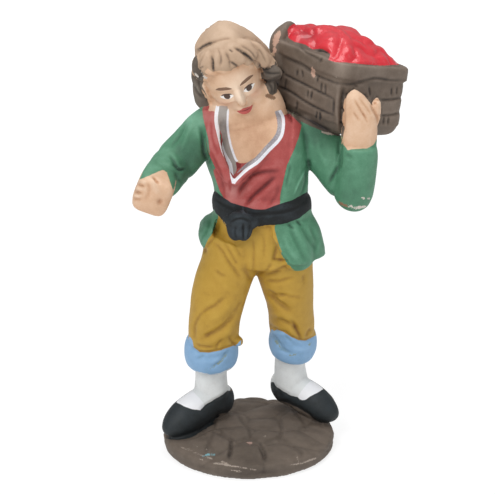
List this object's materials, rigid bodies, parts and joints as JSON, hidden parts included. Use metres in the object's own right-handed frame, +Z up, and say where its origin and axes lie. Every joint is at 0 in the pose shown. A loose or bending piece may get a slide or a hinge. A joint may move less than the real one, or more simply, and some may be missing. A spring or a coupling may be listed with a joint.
{
  "type": "painted terracotta nativity figure",
  "caption": "Small painted terracotta peasant on a round cobbled base, one fist held out and a basket of red fruit carried on its shoulder; it stands in a nativity scene.",
  "frame": {"origin": "centre of the round base's flat underside", "axes": "+Z up through the head; the figure faces -Y; +X towards its own left, the side of the basket"},
  "size_m": [0.0702, 0.047, 0.1186],
  "materials": {
    "painted_terracotta": "hand-painted matt, with a gloss coat on the fruit"
  },
  "bodies": {
    "root": {"figure": "painted_terracotta"}
  },
  "joints": []
}
